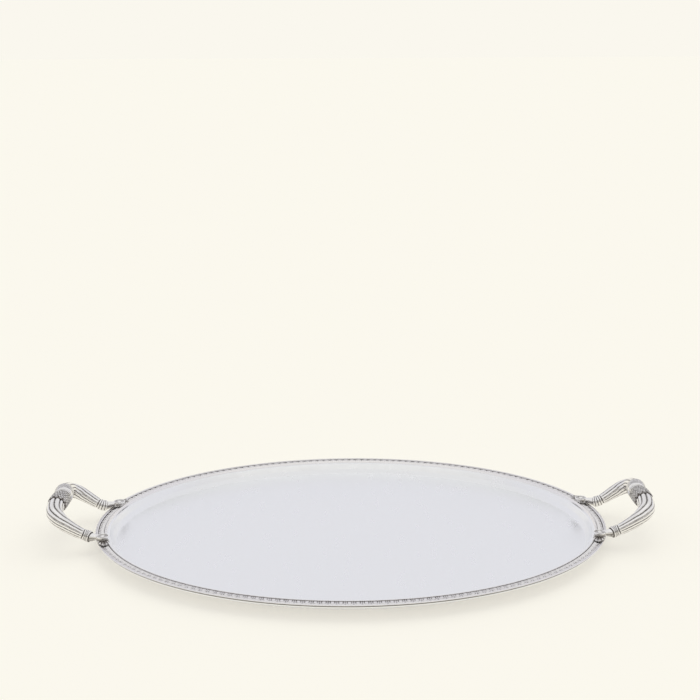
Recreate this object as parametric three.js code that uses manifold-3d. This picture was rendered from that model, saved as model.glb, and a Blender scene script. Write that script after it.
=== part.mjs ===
// Oval serving tray in silver-plated metal, with an ornamental border and two cast end handles.
// Millimetres. +X along the tray's length, +Z up, the underside of the floor at z = 0.
import * as THREE from 'three';
import { mergeVertices } from 'three/addons/utils/BufferGeometryUtils.js';
import Module from 'manifold-3d';

// ---- driving dimensions -------------------------------------------------------------------
const HALF_LENGTH = 270;      // of the oval rim
const HALF_WIDTH = 208;
const RIM_TOP = 14;           // top of the rim's outer edge above the resting plane
const SHEET = 1.0;            // thickness of the pressed tray sheet
const GAP = 0.3;              // clearance between pieces that touch
const OVAL_STEPS = 64;        // facets round the oval
const ROUND_STEPS = 16;       // facets round the handle's pieces
const SMALL_STEPS = 12;       // facets round screws, washers and buttons

const WIRE_WIDTH = 3.0;       // plain outer wire of the border
const FRIEZE_WIDTH = 6.0;     // ornamental band inside it
const BEAD_WIDTH = 1.8;       // thin bead that closes the border
const FLANGE_TOP = 11.7;      // seat of the border on the sheet
const BEAD_TOP = RIM_TOP + 0.4;
const FRIEZE_TOP = RIM_TOP - 0.3;

const DISC = { x: 255.6, y: 50.2, radius: 6.4, top: RIM_TOP + 5.2 };   // scroll end of a terminal
const DISH_DEPTH = 1.1;
const DRUM_RADIUS = 4.9;
const FOOT = { along: 13, across: 6.2, height: 1.9, shift: 5 };        // leaf foot, longer away from the grip
const FOOT_BASE = BEAD_TOP + GAP;
const SCREW_RADIUS = 1.5;
const CLEARANCE_HOLE = SCREW_RADIUS + GAP;

const COLLAR_LENGTH = 8.6;
const RING_LENGTH = 3.8;
const SLEEVE_LENGTH = 18;

// Centreline of half a handle, from the terminal's face to the middle of the grip.
const HALF_HANDLE = [
  [268.8, 45.3, RIM_TOP + 1.7],
  [273.0, 44.0, RIM_TOP + 2.9],
  [280.3, 44.6, RIM_TOP + 6.4],
  [289.5, 45.0, RIM_TOP + 12.2],
  [298.5, 43.4, RIM_TOP + 18.2],
  [305.8, 36.8, RIM_TOP + 23.2],
  [308.2, 24.0, RIM_TOP + 26.4],
  [306.8, 11.5, RIM_TOP + 28.6],
  [305.0, 0.0, RIM_TOP + 29.4],
];

// ---- materials ----------------------------------------------------------------------------
const silver = (color, roughness) => new THREE.MeshStandardMaterial({ color, roughness, metalness: 1 });
const MATERIALS = {
  tray: silver(0xdfe0e6, 0.12),
  border: silver(0xb9b6b8, 0.28),
  handle: silver(0xd6d3d2, 0.18),
  fixing: silver(0x9b9a98, 0.35),
};

// ---- solids -------------------------------------------------------------------------------
const wasm = await Module();
wasm.setup();

/** Closed three.js geometry to a manifold solid, for cutting and joining. */
function toSolid(geometry) {
  geometry.deleteAttribute('normal');
  geometry.deleteAttribute('uv');
  const merged = mergeVertices(geometry, 1e-4);
  const index = merged.index.array;
  const triangles = [];
  for (let i = 0; i < index.length; i += 3) {
    const [a, b, c] = [index[i], index[i + 1], index[i + 2]];
    if (a !== b && b !== c && c !== a) triangles.push(a, b, c);
  }
  return new wasm.Manifold(new wasm.Mesh({
    numProp: 3,
    vertProperties: Float32Array.from(merged.attributes.position.array),
    triVerts: Uint32Array.from(triangles),
  }));
}

/** Manifold solid back to a three.js geometry. */
function toGeometry(solid) {
  const mesh = solid.getMesh();
  const geometry = new THREE.BufferGeometry();
  geometry.setAttribute('position', new THREE.BufferAttribute(mesh.vertProperties, 3));
  geometry.setIndex(new THREE.BufferAttribute(mesh.triVerts, 1));
  return geometry;
}

/** Moves every vertex of a geometry through a function of its place. */
function remap(geometry, place) {
  const position = geometry.attributes.position;
  for (let i = 0; i < position.count; i += 1) {
    const p = place(position.getX(i), position.getY(i), position.getZ(i));
    position.setXYZ(i, p.x, p.y, p.z);
  }
  return geometry;
}

/** Reverses the winding, for geometry whose mapping or mirroring turned it inside out. */
function flip(geometry) {
  const index = geometry.index.array;
  for (let i = 0; i < index.length; i += 3) [index[i], index[i + 1]] = [index[i + 1], index[i]];
  return geometry;
}

/** Lathe about the vertical axis, from [radius, height] pairs. */
function turned(profile, steps) {
  const lathe = new THREE.LatheGeometry(profile.map(([r, h]) => new THREE.Vector2(r, h)), steps);
  return lathe.rotateX(Math.PI / 2);
}

/** Point of the oval, moved inwards square to the edge. */
function ovalPoint(angle, inset) {
  const [c, s] = [Math.cos(angle), Math.sin(angle)];
  const normal = new THREE.Vector2(HALF_WIDTH * c, HALF_LENGTH * s).normalize();
  return new THREE.Vector2(HALF_LENGTH * c - inset * normal.x, HALF_WIDTH * s - inset * normal.y);
}

/** Ring or dish round the oval: the profile is [inset from the rim, height], null insets on the axis. */
function oval(profile) {
  const reach = HALF_LENGTH;
  const rounds = profile.map(([inset, height]) => [inset === null ? 0 : reach - inset, height]);
  return remap(turned(rounds, OVAL_STEPS), (x, y, z) => {
    const radius = Math.hypot(x, y);
    if (radius < 1) return new THREE.Vector3(0, 0, z);
    const p = ovalPoint(Math.atan2(y, x), reach - radius);
    return new THREE.Vector3(p.x, p.y, z);
  });
}

/** Outline of a bent sheet of even thickness under a line of [inset, height] points. */
function sheetBelow(line, thickness) {
  const below = line.map(([inset, height], i) => {
    const before = line[Math.max(i - 1, 0)];
    const after = line[Math.min(i + 1, line.length - 1)];
    const run = new THREE.Vector2(after[0] - before[0], after[1] - before[1]).normalize();
    return [inset + run.y * thickness, height - run.x * thickness];
  });
  return [line, below];
}

// ---- handle centreline ---------------------------------------------------------------------
const centreline = new THREE.CatmullRomCurve3(
  [...HALF_HANDLE, ...HALF_HANDLE.slice(0, -1).reverse().map(([x, y, z]) => [x, -y, z])]
    .map((p) => new THREE.Vector3(...p)),
  false,
  'centripetal',
);
centreline.arcLengthDivisions = 800;
const WHOLE_GRIP = centreline.getLength();
const HALF_GRIP = WHOLE_GRIP / 2;

/** Frame of the handle at a distance along its centreline. */
function handleFrame(distance) {
  const t = THREE.MathUtils.clamp(distance / WHOLE_GRIP, 0, 1);
  const tangent = centreline.getTangentAt(t);
  const side = new THREE.Vector3(0, 0, 1).cross(tangent).normalize();
  return { origin: centreline.getPointAt(t), side, up: tangent.clone().cross(side), tangent };
}

/** Round piece bent along the handle: the profile is [radius, distance along the centreline]. */
function bent(profile, steps = ROUND_STEPS) {
  return remap(turned(profile, steps), (x, y, distance) => {
    const { origin, side, up } = handleFrame(distance);
    return origin.addScaledVector(side, x).addScaledVector(up, y);
  });
}

// ---- tray ------------------------------------------------------------------------------------
const FLANGE_EDGE = 1.2;      // the sheet stops this far inside the wire's outer edge
const FRIEZE_START = WIRE_WIDTH + GAP;
const BEAD_START = FRIEZE_START + FRIEZE_WIDTH + GAP;
const BORDER_BASE = FLANGE_TOP + GAP;

const DRILL_LENGTH = 12;

const screwPlaces = [[1, 1], [1, -1], [-1, 1], [-1, -1]].map(([sx, sy]) => [sx * DISC.x, sy * DISC.y]);

/** Drills the four screw holes through a piece. */
function drilled(geometry) {
  let solid = toSolid(geometry);
  for (const [x, y] of screwPlaces) {
    const hole = new THREE.CylinderGeometry(CLEARANCE_HOLE, CLEARANCE_HOLE, DRILL_LENGTH, SMALL_STEPS);
    solid = solid.subtract(toSolid(hole.rotateX(Math.PI / 2).translate(x, y, FLANGE_TOP)));
  }
  return toGeometry(solid);
}

function trayBody() {
  const surface = [
    [FLANGE_EDGE, FLANGE_TOP],
    [12.8, FLANGE_TOP],
    [14.3, 11.1],
    [15.7, 9.4],
    [18.4, 4.3],
    [20.2, 2.2],
    [22.8, SHEET],
  ];
  const [above, below] = sheetBelow(surface, SHEET);
  return drilled(oval([[null, 0], ...below.reverse(), ...above, [null, SHEET]]));
}

function borderWire() {
  const middle = BORDER_BASE + (RIM_TOP - BORDER_BASE) / 2;
  return oval([
    [0.6, BORDER_BASE],
    [0, middle],
    [0.5, RIM_TOP - 0.3],
    [1.4, RIM_TOP],
    [WIRE_WIDTH - 0.4, RIM_TOP - 0.4],
    [WIRE_WIDTH, RIM_TOP - 1],
    [WIRE_WIDTH, BORDER_BASE],
    [0.6, BORDER_BASE],
  ]);
}

function borderFrieze() {
  const end = FRIEZE_START + FRIEZE_WIDTH;
  return drilled(oval([
    [FRIEZE_START, BORDER_BASE],
    [FRIEZE_START, FRIEZE_TOP - 0.8],
    [FRIEZE_START + 1.2, FRIEZE_TOP - 0.1],
    [end - 1.2, FRIEZE_TOP],
    [end, FRIEZE_TOP - 0.6],
    [end, BORDER_BASE],
    [FRIEZE_START, BORDER_BASE],
  ]));
}

function borderBead() {
  const end = BEAD_START + BEAD_WIDTH;
  return oval([
    [BEAD_START, BORDER_BASE],
    [BEAD_START, BEAD_TOP - 0.6],
    [BEAD_START + BEAD_WIDTH / 2, BEAD_TOP],
    [end, BEAD_TOP - 0.7],
    [end, BORDER_BASE],
    [BEAD_START, BORDER_BASE],
  ]);
}

// ---- handle pieces, modelled for the +X end and its +Y side -----------------------------------
const ARM_FOOT = 3.7;         // radius of the arm's tenon inside the collar
const SLEEVE_START = HALF_GRIP - RING_LENGTH / 2 - GAP - SLEEVE_LENGTH;
const ARM_NECK = 5.8;         // arm radius at the collar
const ARM_MOUTH = 9.0;        // arm radius where it enters the sleeve
const ARM_END = 8.0;          // arm radius at the middle of the grip

const SHOULDER = COLLAR_LENGTH + 2 * GAP;
const ARM_STATIONS = 13;

/** Radius of an arm between its shoulder at the collar and the middle of the grip. */
function armRadius(distance) {
  const rise = THREE.MathUtils.clamp((distance - SHOULDER) / (SLEEVE_START - SHOULDER), 0, 1);
  const fall = THREE.MathUtils.clamp((distance - SLEEVE_START) / SLEEVE_LENGTH, 0, 1);
  const growth = Math.pow(Math.sin((rise * Math.PI) / 2), 1.3);
  return ARM_NECK + (ARM_MOUTH - ARM_NECK) * growth - (ARM_MOUTH - ARM_END) * fall;
}

function arm() {
  const end = HALF_GRIP - GAP / 2;
  const profile = [[0, GAP]];
  for (const t of [0, 0.5, 1]) profile.push([ARM_FOOT, GAP + COLLAR_LENGTH * t]);
  profile.push([ARM_FOOT, SHOULDER]);
  for (let i = 0; i <= ARM_STATIONS; i += 1) {
    const distance = THREE.MathUtils.lerp(SHOULDER, end, i / ARM_STATIONS);
    profile.push([armRadius(distance), distance]);
  }
  profile.push([0, end]);
  return bent(profile);
}

const COLLAR_RIDGES = 3;
const COLLAR_VALLEY = 5.2;
const COLLAR_CREST = 6.2;

function collar() {
  const bore = ARM_FOOT + GAP;
  const start = GAP;
  const end = start + COLLAR_LENGTH;
  const pitch = COLLAR_LENGTH / COLLAR_RIDGES;
  const profile = [[bore, start]];
  for (let i = 0; i < COLLAR_RIDGES; i += 1) {
    const from = start + pitch * i;
    profile.push([COLLAR_VALLEY, from], [COLLAR_CREST, from + pitch / 2]);
  }
  profile.push([COLLAR_VALLEY, end], [bore, end], [bore, (start + end) / 2], [bore, start]);
  return bent(profile);
}

function leafSleeve() {
  const stations = [0, 0.25, 0.5, 0.75, 1].map((t) => SLEEVE_START + SLEEVE_LENGTH * t);
  const outside = [9.9, 10.3, 10.2, 9.7, 9.1];
  const profile = stations.map((distance, i) => [outside[i], distance]);
  for (const distance of stations.reverse()) profile.push([armRadius(distance) + GAP, distance]);
  profile.push(profile[0]);
  return bent(profile);
}

function centreRing() {
  const half = RING_LENGTH / 2;
  const bore = ARM_END + GAP + 0.1;
  const section = [
    [bore, -half],
    [9.0, -half],
    [9.6, -half / 2],
    [9.1, 0],
    [9.6, half / 2],
    [9.0, half],
    [bore, half],
    [bore, -half],
  ];
  return bent(section.map(([r, d]) => [r, HALF_GRIP + d]));
}

const DISH_FLOOR = DISC.top - DISH_DEPTH;
const NECK = { root: 2.2, face: 4.6, rise: 2.2 };     // radii at disc and collar, height of the root
const BORDER_REACH = 14;                              // the border ends inside this distance from the edge
const SCREW_BORE_LENGTH = 5.6;

/** Leaf-shaped foot that lies along the border under the disc. */
function leafFoot() {
  const outward = new THREE.Vector2(DISC.x / HALF_LENGTH ** 2, DISC.y / HALF_WIDTH ** 2).normalize();
  const leaf = new THREE.Shape();
  leaf.absellipse(0, FOOT.shift, FOOT.across, FOOT.along, 0, 2 * Math.PI);
  const settings = { depth: FOOT.height, bevelEnabled: false, curveSegments: 10 };
  const foot = new THREE.ExtrudeGeometry(leaf, settings);
  return foot.rotateZ(Math.atan2(outward.y, outward.x)).translate(DISC.x, DISC.y, FOOT_BASE);
}

/** Tapered bar from the disc to the collar, running a little past the collar's face. */
function neckBar() {
  const face = handleFrame(0).origin;
  const root = new THREE.Vector3(DISC.x, DISC.y, FOOT_BASE + NECK.rise);
  const reach = face.distanceTo(root) + 1.5;
  const neck = new THREE.CylinderGeometry(NECK.face, NECK.root, reach, ROUND_STEPS);
  const aim = face.sub(root).normalize();
  neck.translate(0, reach / 2, 0);
  neck.applyQuaternion(new THREE.Quaternion().setFromUnitVectors(new THREE.Vector3(0, 1, 0), aim));
  return neck.translate(root.x, root.y, root.z);
}

/** Scroll disc, drum, leaf foot and neck of a terminal, in one casting. */
function terminal() {
  const drumTop = FOOT_BASE + FOOT.height;
  const disc = turned([
    [0, FOOT_BASE],
    [DRUM_RADIUS, FOOT_BASE],
    [DRUM_RADIUS, drumTop + 0.5],
    [DISC.radius, drumTop + 0.9],
    [DISC.radius, DISC.top - 0.5],
    [DISC.radius - 0.9, DISC.top],
    [0, DISC.top],
  ], ROUND_STEPS).translate(DISC.x, DISC.y, 0);
  const dish = turned([
    [0, DISH_FLOOR],
    [DRUM_RADIUS, DISH_FLOOR],
    [DRUM_RADIUS + 0.4, DISC.top - 0.2],
    [DRUM_RADIUS + 0.4, DISC.top + 1],
    [0, DISC.top + 1],
  ], ROUND_STEPS).translate(DISC.x, DISC.y, 0);

  const bore = new THREE.CylinderGeometry(CLEARANCE_HOLE, CLEARANCE_HOLE, SCREW_BORE_LENGTH, SMALL_STEPS);
  bore.rotateX(Math.PI / 2).translate(DISC.x, DISC.y, FOOT_BASE);
  const low = FLANGE_TOP - 4;
  const overRim = oval([
    [-GAP, low],
    [-GAP, FOOT_BASE],
    [BORDER_REACH, FOOT_BASE],
    [BORDER_REACH, low],
    [-GAP, low],
  ]);
  const wide = 2 * NECK.face;
  const beyondFace = bent([[0, 0], [wide, 0], [wide, COLLAR_LENGTH], [0, COLLAR_LENGTH]]);
  const casting = toSolid(disc).add(toSolid(leafFoot())).add(toSolid(neckBar()));
  const cuts = [dish, overRim, beyondFace, bore];
  return toGeometry(cuts.reduce((rest, cut) => rest.subtract(toSolid(cut)), casting));
}

function eyeButton() {
  const base = DISH_FLOOR + GAP;
  const profile = [[0, base], [2.2, base], [2.0, base + 0.5], [1.2, base + 0.9], [0, base + 1.1]];
  return turned(profile, SMALL_STEPS).translate(DISC.x, DISC.y, 0);
}

const WASHER = { radius: 4.2, thickness: 0.8 };
const WASHER_TOP = FLANGE_TOP - SHEET - GAP;

function washer() {
  const bottom = WASHER_TOP - WASHER.thickness;
  const profile = [
    [CLEARANCE_HOLE, bottom],
    [WASHER.radius, bottom],
    [WASHER.radius, WASHER_TOP],
    [CLEARANCE_HOLE, WASHER_TOP],
    [CLEARANCE_HOLE, bottom],
  ];
  return turned(profile, SMALL_STEPS).translate(DISC.x, DISC.y, 0);
}

function screw() {
  const seat = WASHER_TOP - WASHER.thickness - GAP;
  const tip = FOOT_BASE + 2.5;
  const profile = [
    [0, seat - 2.0],
    [2.0, seat - 1.9],
    [3.2, seat - 0.9],
    [3.2, seat],
    [SCREW_RADIUS, seat],
    [SCREW_RADIUS, tip - 0.6],
    [0.9, tip],
    [0, tip],
  ];
  return turned(profile, SMALL_STEPS).translate(DISC.x, DISC.y, 0);
}

// ---- assembly ----------------------------------------------------------------------------------
const tray = new THREE.Group();

function place(name, geometry, material) {
  const mesh = new THREE.Mesh(geometry, material.clone());
  mesh.name = name;
  tray.add(mesh);
}

/** Copy of a handle piece mirrored to one end and one side of the tray. */
function mirrored(geometry, endSign, sideSign) {
  const copy = geometry.clone().scale(endSign, sideSign, 1);
  return endSign * sideSign < 0 ? flip(copy) : copy;
}

place('tray_body', trayBody(), MATERIALS.tray);
place('border_outer_wire', borderWire(), MATERIALS.border);
place('border_frieze', borderFrieze(), MATERIALS.border);
place('border_inner_bead', borderBead(), MATERIALS.border);

const sidePieces = [
  ['arm', arm(), MATERIALS.handle],
  ['collar', collar(), MATERIALS.handle],
  ['leaf_sleeve', leafSleeve(), MATERIALS.handle],
  ['terminal', terminal(), MATERIALS.handle],
  ['eye_button', eyeButton(), MATERIALS.handle],
  ['screw', screw(), MATERIALS.fixing],
  ['washer', washer(), MATERIALS.fixing],
];
const ring = centreRing();
for (const [end, endSign] of [['right', 1], ['left', -1]]) {
  place(`${end}_centre_ring`, mirrored(ring, endSign, 1), MATERIALS.handle);
  for (const [side, sideSign] of [['rear', 1], ['front', -1]]) {
    for (const [piece, geometry, material] of sidePieces) {
      place(`${end}_${side}_${piece}`, mirrored(geometry, endSign, sideSign), material);
    }
  }
}

export default tray;
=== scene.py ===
import math

import bpy
import numpy as np
from mathutils import Matrix, Vector


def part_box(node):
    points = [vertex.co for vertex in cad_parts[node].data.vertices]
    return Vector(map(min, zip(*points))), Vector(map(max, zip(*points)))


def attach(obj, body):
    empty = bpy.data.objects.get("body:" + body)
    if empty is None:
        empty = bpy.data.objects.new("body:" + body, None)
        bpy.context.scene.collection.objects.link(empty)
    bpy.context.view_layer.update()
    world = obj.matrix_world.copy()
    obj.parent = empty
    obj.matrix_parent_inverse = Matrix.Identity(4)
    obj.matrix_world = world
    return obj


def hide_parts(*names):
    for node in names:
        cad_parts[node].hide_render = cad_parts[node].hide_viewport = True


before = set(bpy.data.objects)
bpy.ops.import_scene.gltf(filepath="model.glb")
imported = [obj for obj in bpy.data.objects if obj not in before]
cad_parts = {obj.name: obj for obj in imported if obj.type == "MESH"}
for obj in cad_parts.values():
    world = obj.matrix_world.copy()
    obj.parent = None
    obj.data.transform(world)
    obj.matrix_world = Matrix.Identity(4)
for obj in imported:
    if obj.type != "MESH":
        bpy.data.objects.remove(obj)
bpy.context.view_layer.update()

MM = 0.001

# ---- places taken from the frame ---------------------------------------------------------------
RIM_LOW, RIM_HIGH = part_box("border_outer_wire")
FRIEZE_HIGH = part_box("border_frieze")[1]
BEAD_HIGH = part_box("border_inner_bead")[1]
BODY_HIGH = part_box("tray_body")[1]
BUTTON_LOW, BUTTON_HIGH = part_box("right_rear_eye_button")
WASHER_LOW, WASHER_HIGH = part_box("right_rear_washer")
SCREW_LOW, SCREW_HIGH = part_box("right_rear_screw")

HALF_LENGTH = RIM_HIGH[0]
HALF_WIDTH = RIM_HIGH[1]
RIM_TOP = RIM_HIGH[2]
BORDER_BASE = RIM_LOW[2]
FLANGE_TOP = BODY_HIGH[2]
DISC_X = 0.5 * (BUTTON_LOW[0] + BUTTON_HIGH[0])
DISC_Y = 0.5 * (BUTTON_LOW[1] + BUTTON_HIGH[1])

# Insets run inwards from the outside of the rim, square to the oval.
FLANGE_EDGE = HALF_LENGTH - BODY_HIGH[0]
FRIEZE_OUTER = HALF_LENGTH - FRIEZE_HIGH[0]
BEAD_OUTER = HALF_LENGTH - BEAD_HIGH[0]

GAP = 0.3 * MM                # between pieces that are fixed to each other

# ---- pressed sheet -----------------------------------------------------------------------------
SHEET = 1.0 * MM
WELL_INSET = 30 * MM          # the well is level from here in
WELL_SWAY = 0.035 * MM        # unevenness of hand-finished metal
WELL_RINGS = 40               # rings of points on each face of the flat well
OVAL_SAMPLES = 720

# ---- border ------------------------------------------------------------------------------------
WIRE_WIDTH = 3.0 * MM
FRIEZE_WIDTH = 6.0 * MM
FRIEZE_RELIEF = 0.75 * MM
FRIEZE_LEAN = 0.5 * MM        # fall of the band's surface towards the rim
FRIEZE_STATIONS = 24          # points across the band
MOTIFS = 188                  # tongues of the border round the oval
SAMPLES_PER_MOTIF = 30
FLUTE_PITCH = 1.2 * MM
BEAD_WIDTH = 1.8 * MM
BEAD_FOOT = 0.7 * MM          # the bead's foot runs this far past it on the flange
PEARL_RADIUS = 0.5 * MM
PEARL_DROP = 0.35 * MM        # top of a pearl below the top that the frame gives the bead
PEARLS_PER_MOTIF = 3
SAMPLES_PER_PEARL = 8
GROUND_TONE = 0.2             # how rubbed the ground of the border is, 0 to 1
EDGE_TONE = 0.4               # the same for the upright edges of its strips

# ---- handles -----------------------------------------------------------------------------------
# Centreline of half a handle, from the terminal's face to the middle of the grip, as x, y and
# height above the rim in mm.
HALF_HANDLE = [
    (268.8, 45.3, 1.7),
    (273.0, 44.0, 2.9),
    (280.3, 44.6, 6.4),
    (289.5, 45.0, 12.2),
    (298.5, 43.4, 18.2),
    (305.8, 36.8, 23.2),
    (308.2, 24.0, 26.4),
    (306.8, 11.5, 28.6),
    (305.0, 0.0, 29.4),
]
TENON_RADIUS = 3.7 * MM       # end of the arm inside its collar
ARM_FOOT = 5.8 * MM           # radius of the arm beside its collar
ARM_SWELL = 3.2 * MM          # growth of the radius up to the sleeve
GRIP_FALL = 1.0 * MM          # loss of radius under the sleeve
REEDS = 12
REED_DEPTH = 0.125            # of the arm's radius
REED_UNEVENNESS = 0.7         # reeds are wider above and below than at the sides

COLLAR_LENGTH = 8.6 * MM
COLLAR_BORE = 3.95 * MM
COLLAR_RADIUS = 5.15 * MM     # in the grooves between its rings, at both ends
COLLAR_RIDGE = 0.9 * MM       # height of a ring above them
COLLAR_SWELL = 0.15 * MM      # growth of the radius at half its length
COLLAR_RINGS = 4

RING_LENGTH = 3.8 * MM
RING_BORE = 8.4 * MM
RING_RADIUS = 8.6 * MM        # in the groove between its two ridges
RING_RIDGE = 0.98 * MM

SLEEVE_LENGTH = 18 * MM
SLEEVE_RADIUS = 9.15 * MM
SLEEVE_SWELL = 1.05 * MM
SLEEVE_RELIEF = 0.75 * MM
SLEEVE_BITE = 0.15 * MM       # the bore is this much smaller than the arm, so that no gap shows
PETALS = 12                   # leaf tips round a sleeve
SCALES_ROUND = 20
SCALE_ROWS = 7

# ---- terminals and fixings ---------------------------------------------------------------------
DISC_RADIUS = 6.4 * MM
DISC_EDGE = 1.2 * MM          # height of the disc's outer edge
DISH_DEPTH = 1.1 * MM
DISH_RADIUS = 4.9 * MM
DISH_LIP = 5.4 * MM           # inner radius of the disc's flat rim
DRUM_RADIUS = 4.7 * MM
DRUM_TOP = 1.5 * MM           # below the top of the disc
DISC_TOP = BUTTON_LOW[2] - GAP + DISH_DEPTH
LOBES = 14                    # ribs of a terminal's leaf foot
FOOT_BASE = BEAD_HIGH[2] + GAP
FOOT_HEIGHT = 1.6 * MM
FOOT_RIB = 0.22 * MM
FOOT_ALONG = 12.8 * MM
FOOT_ACROSS = 6.1 * MM
FOOT_SHIFT = 5.0 * MM         # the leaf's middle lies this far from the disc, away from the grip
NECK_ROOT = 2.2 * MM          # middle of the neck above the foot's base, where it leaves the disc
NECK_GROOVE = 1.6 * MM        # height of the groove along a terminal's neck above its foot
MELT = 0.16 * MM              # grain of the melted seams between a terminal's disc, foot and neck

BUTTON_RADIUS = 2.2 * MM
BUTTON_FOOT = 0.25 * MM       # the button's foot fills this much of the gap under it
WASHER_BORE = 1.8 * MM
WASHER_RADIUS = 4.2 * MM
SHANK_RADIUS = 1.5 * MM
HEAD_RADIUS = 3.2 * MM
SLOT_HALF_WIDTH = 0.35 * MM
SLOT_DEPTH = 0.8 * MM
SMALL_ROUNDING = 5            # steps of a rounded corner on these small pieces

# ---- stage, light and camera -------------------------------------------------------------------
# The floor's glow is painted light that lifts the shadow under the tray.
FLOOR_GLOW = (0.417, 0.405, 0.400)
FLOOR_COLOUR = (0.591, 0.577, 0.485)
FLOOR_REACH = 300.0
FLOOR_DROP = 0.0001           # keeps the floor just clear of the tray

# Colours of the surround as (sine of the elevation, colour).
HORIZON = (0.956, 0.930, 0.855)
BACK_WALL = [
    (0.0, HORIZON),
    (0.08, HORIZON),
    (0.20, (0.80, 0.80, 0.84)),
    (0.50, (0.80, 0.80, 0.84)),
    (0.80, (0.78, 0.78, 0.78)),
    (1.0, (0.93, 0.93, 0.93)),
]
FRONT_ROOM = [
    (0.0, HORIZON),
    (0.05, HORIZON),
    (0.09, (0.07, 0.06, 0.05)),
    (0.28, (0.10, 0.085, 0.075)),
    (0.42, (0.90, 0.89, 0.88)),
    (0.62, (0.96, 0.955, 0.935)),
    (0.80, (0.80, 0.80, 0.80)),
    (0.90, (0.74, 0.74, 0.75)),
    (1.0, (0.91, 0.91, 0.91)),
]
ROOM_UP_TO = -0.6             # the surround is all room where a direction's Y is below this
WALL_FROM = -0.1              # and all back wall where it is above this

SUN_POWER = 0.5
SUN_ANGLE = 60                # degrees
SUN_DIRECTION = (-0.30, -0.55, -0.80)

CAMERA_X = -0.0134
CAMERA_Y = -1.2250
CAMERA_ABOVE_RIM = 0.4827
CAMERA_PITCH = 13.56          # degrees down
CAMERA_YAW = 0.611
CAMERA_ROLL = -0.247
CAMERA_LENS = 62.74           # mm, as is the sensor's width
CAMERA_SENSOR = 36.0


# ---- materials ---------------------------------------------------------------------------------
class Nodes:
    """A node tree with short calls for making and joining its nodes."""

    def __init__(self, tree):
        self.tree = tree

    def add(self, kind, **settings):
        """A new node with its settings."""
        node = self.tree.nodes.new(kind)
        for key, value in settings.items():
            setattr(node, key, value)
        return node

    def join(self, source, target):
        """Links an output to an input."""
        self.tree.links.new(source, target)

    def noise(self, coords, scale, detail=3.0, roughness=0.5, stretch=None):
        """Noise value, on coordinates that may be stretched first."""
        if stretch is not None:
            mapping = self.add("ShaderNodeMapping")
            mapping.inputs["Scale"].default_value = stretch
            self.join(coords, mapping.inputs["Vector"])
            coords = mapping.outputs["Vector"]
        node = self.add("ShaderNodeTexNoise")
        node.inputs["Scale"].default_value = scale
        node.inputs["Detail"].default_value = detail
        node.inputs["Roughness"].default_value = roughness
        self.join(coords, node.inputs["Vector"])
        return node.outputs["Fac"]

    def spread(self, value, low, high, start=0.0, end=1.0):
        """Maps start..end of a value to low..high."""
        node = self.add("ShaderNodeMapRange")
        node.inputs["From Min"].default_value = start
        node.inputs["From Max"].default_value = end
        node.inputs["To Min"].default_value = low
        node.inputs["To Max"].default_value = high
        self.join(value, node.inputs["Value"])
        return node.outputs["Result"]

    def maths(self, operation, first, second):
        """Sum, difference or product of two values, each a socket or a number."""
        node = self.add("ShaderNodeMath", operation=operation)
        for socket, value in zip(node.inputs, (first, second)):
            if isinstance(value, (int, float)):
                socket.default_value = value
            else:
                self.join(value, socket)
        return node.outputs["Value"]

    def mix(self, factor, first, second):
        """Mixes two colours, each a socket or an (r, g, b) value."""
        node = self.add("ShaderNodeMix", data_type="RGBA")
        self.join(factor, node.inputs["Factor"])
        for socket, value in zip((node.inputs[6], node.inputs[7]), (first, second)):
            if isinstance(value, tuple):
                socket.default_value = (*value, 1.0)
            else:
                self.join(value, socket)
        return node.outputs[2]

    def colour_ramp(self, value, stops):
        """Colour that a value picks from stops of (position, colour)."""
        ramp = self.add("ShaderNodeValToRGB")
        elements = ramp.color_ramp.elements
        while len(elements) < len(stops):
            elements.new(0.5)
        for element, (position, colour) in zip(elements, stops):
            element.position = position
            element.color = (*colour, 1)
        self.join(value, ramp.inputs["Fac"])
        return ramp.outputs["Color"]


def shaded(colour, share):
    """A colour at a share of its brightness."""
    return tuple(share * channel for channel in colour)


def silver(name, bright, dark, roughness, recess_from, recess_to, scratch=0.02, clouding=0.14):
    """Silver plate: bright where it is rubbed, dark where relief traps tarnish, with wipe marks; on some
    pieces the relief attribute also carries painted shade and painted light.
    """
    material = bpy.data.materials.new(name)
    material.use_nodes = True
    tree = Nodes(material.node_tree)
    shader = material.node_tree.nodes["Principled BSDF"]
    shader.inputs["Metallic"].default_value = 1.0
    shader.inputs["IOR"].default_value = 1.5
    place = tree.add("ShaderNodeTexCoord").outputs["Object"]
    relief = tree.add("ShaderNodeAttribute", attribute_name="relief").outputs["Fac"]

    cloud = tree.noise(place, scale=28.0, detail=4.0, roughness=0.6)
    clouded = tree.mix(tree.spread(cloud, 0.0, clouding, 0.35, 0.75), bright, shaded(bright, 0.86))
    # This tone also paints the shade and light that some pieces hold in their relief attribute.
    wear_and_painted_shading = tree.spread(relief, 0.0, 1.0, recess_from, recess_to)
    patchy = tree.maths("MULTIPLY", wear_and_painted_shading, tree.maths("SUBTRACT", 1.0, wear_and_painted_shading))
    speckle = tree.noise(place, scale=420.0)
    grime = tree.maths("MULTIPLY", tree.spread(speckle, -1.0, 1.0, 0.3, 0.7), patchy)
    colour = tree.mix(tree.maths("ADD", wear_and_painted_shading, grime), dark, clouded)
    tree.join(colour, shader.inputs["Base Color"])

    smear = tree.noise(place, scale=90.0, roughness=0.6, stretch=(1.0, 0.22, 1.0))
    polish = tree.spread(smear, roughness * 0.9, roughness * 1.2, 0.3, 0.75)
    dull = tree.spread(relief, 0.22, 0.0, recess_from, recess_to)
    tree.join(tree.maths("ADD", polish, dull), shader.inputs["Roughness"])

    hairlines = tree.noise(place, scale=900.0, detail=2.0, roughness=0.7, stretch=(0.08, 1.0, 1.0))
    bump = tree.add("ShaderNodeBump")
    bump.inputs["Strength"].default_value = scratch
    bump.inputs["Distance"].default_value = 0.0002
    tree.join(hairlines, bump.inputs["Height"])
    tree.join(bump.outputs["Normal"], shader.inputs["Normal"])
    return material


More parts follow.
